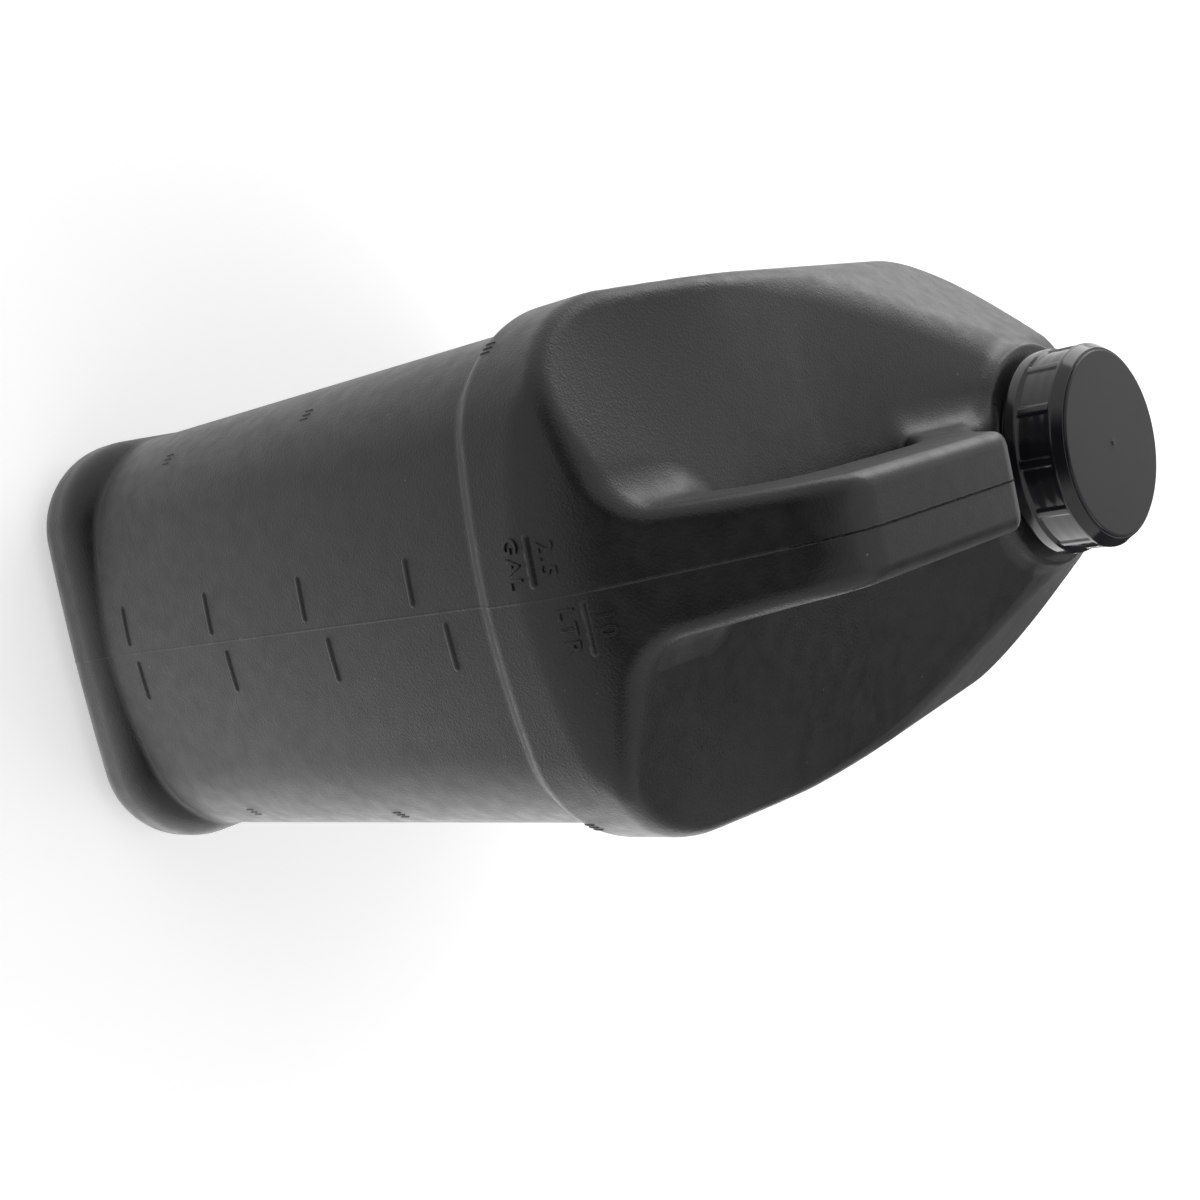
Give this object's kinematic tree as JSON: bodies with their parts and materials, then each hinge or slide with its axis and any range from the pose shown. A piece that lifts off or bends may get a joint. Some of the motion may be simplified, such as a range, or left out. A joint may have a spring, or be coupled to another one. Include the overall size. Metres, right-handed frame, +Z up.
{
  "type": "motor oil bottle",
  "caption": "Tall blow-moulded oil jug with a hollow carrying handle, a set-back panel with scale marks and a ribbed screw cap on a wide neck.",
  "frame": {"origin": "centre of the footprint, on the surface that the jug stands on", "axes": "+Z up, +Y from the handle end to the neck, +X across the jug"},
  "size_m": [0.158, 0.26, 0.326],
  "materials": {
    "bottle_plastic": "satin black polyethylene with a fine leather grain",
    "cap_plastic": "black moulded plastic, glossy skirt and matte top",
    "liner_foam": "white foam disc"
  },
  "bodies": {
    "bottle": {"bottle": "bottle_plastic"},
    "sealing_disc": {"liner": "liner_foam"},
    "screw_cap": {"cap": "cap_plastic"}
  },
  "joints": [
    {"name": "cap_lift", "type": "slide", "parent": "bottle", "child": "sealing_disc", "axis": [0, 0, 1], "range_m": [0, 0.00634]},
    {"name": "cap_turn", "type": "hinge", "parent": "sealing_disc", "child": "screw_cap", "pos_m": [0, 0.0895, 0.307], "axis": [0, 0, 1], "range_deg": [0, 540]}
  ],
  "couplings": [
    {"joint": "cap_turn", "follows": "cap_lift", "rad_per_m": 1484.2}
  ]
}
